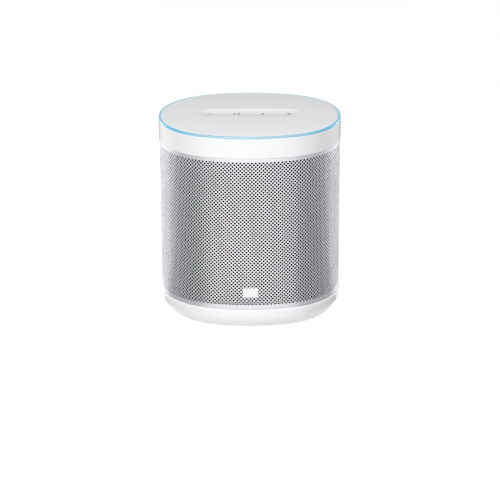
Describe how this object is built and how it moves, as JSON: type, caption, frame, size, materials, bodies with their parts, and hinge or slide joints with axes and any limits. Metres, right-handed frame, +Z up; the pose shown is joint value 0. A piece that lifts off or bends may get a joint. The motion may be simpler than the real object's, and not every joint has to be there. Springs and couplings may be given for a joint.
{
  "type": "smart speaker",
  "caption": "Oval table-top smart speaker: perforated white metal sleeve between a bowl base and a plain band, light ring, touch top, front-facing driver in a closed box.",
  "frame": {"origin": "centre of the oval, on the surface that the speaker stands on", "axes": "+Z up, +X to the right as seen from the front, +Y to the back"},
  "size_m": [0.131, 0.104, 0.151],
  "materials": {
    "white_plastic": "satin moulded white",
    "cover_plastic": "fine matte white",
    "grey_rubber": "matte grey rubber",
    "white_metal": "white powder coat on perforated aluminium",
    "badge_metal": "bare satin plate",
    "ring_diffuser": "translucent light guide",
    "black_plastic": "moulded black",
    "black_foam": "closed-cell foam",
    "black_steel": "black coated sheet steel",
    "zinc_steel": "zinc plated",
    "black_rubber": "soft rubber",
    "cone_paper": "coated paper pulp",
    "spider_cloth": "treated cloth",
    "copper": "copper",
    "ferrite": "ground ferrite",
    "terminal_strip": "phenolic strip with tinned tags",
    "black_sleeving": "insulated lead",
    "cream_plastic": "connector plastic",
    "board_green": "solder mask",
    "board_white": "white solder mask",
    "shield_metal": "tinned sheet",
    "chip_black": "epoxy package",
    "sink_aluminium": "extruded",
    "capacitor_can": "sleeved can",
    "ribbon_film": "polyimide film",
    "led_lens": "clear package"
  },
  "bodies": {
    "housing": {"base_shell": "white_plastic", "foot_pad": "grey_rubber", "base_screws": "zinc_steel", "power_board": "board_green", "power_board_screws": "zinc_steel", "power_socket": "black_plastic", "power_board_connector": "cream_plastic", "power_lead": "black_sleeving", "grille": "white_metal", "badge_plate": "badge_metal", "speaker_box": "black_plastic", "lid_gasket": "black_foam", "box_lid": "black_plastic", "lid_screws": "zinc_steel", "damping_foam": "black_foam", "driver_gasket": "black_foam", "driver_basket": "black_steel", "driver_screws": "black_steel", "surround": "black_rubber", "spider": "spider_cloth", "front_plate": "zinc_steel", "magnet": "ferrite", "yoke": "zinc_steel", "driver_terminals": "terminal_strip", "speaker_lead": "black_sleeving", "lead_grommet": "black_rubber", "top_band": "white_plastic", "deck_screws": "zinc_steel", "main_board": "board_green", "board_screws": "zinc_steel", "processor_shield": "shield_metal", "wireless_module": "shield_metal", "audio_amplifier": "chip_black", "heat_sink": "sink_aluminium", "board_capacitors": "capacitor_can", "speaker_connector": "cream_plastic", "main_power_connector": "cream_plastic", "ribbon_sockets": "cream_plastic", "touch_ribbon": "ribbon_film", "ring_ribbon": "ribbon_film", "mic_ribbons": "ribbon_film", "antennas": "copper", "led_board": "board_white", "led_board_screws": "zinc_steel", "leds": "led_lens", "light_ring": "ring_diffuser", "top_cover": "cover_plastic", "touch_board": "board_green", "mic_boot_front": "black_rubber", "mic_boot_rear": "black_rubber", "mic_board_front": "board_green", "mic_board_rear": "board_green"},
    "diaphragm": {"cone": "cone_paper", "dust_cap": "cone_paper", "voice_coil": "copper"}
  },
  "joints": [
    {"name": "diaphragm_travel", "type": "slide", "parent": "housing", "child": "diaphragm", "axis": [0, -1, 0], "range_m": [-0.0025, 0.0025], "stiffness_N_per_m": 1000, "deforming": ["surround", "spider"]}
  ]
}
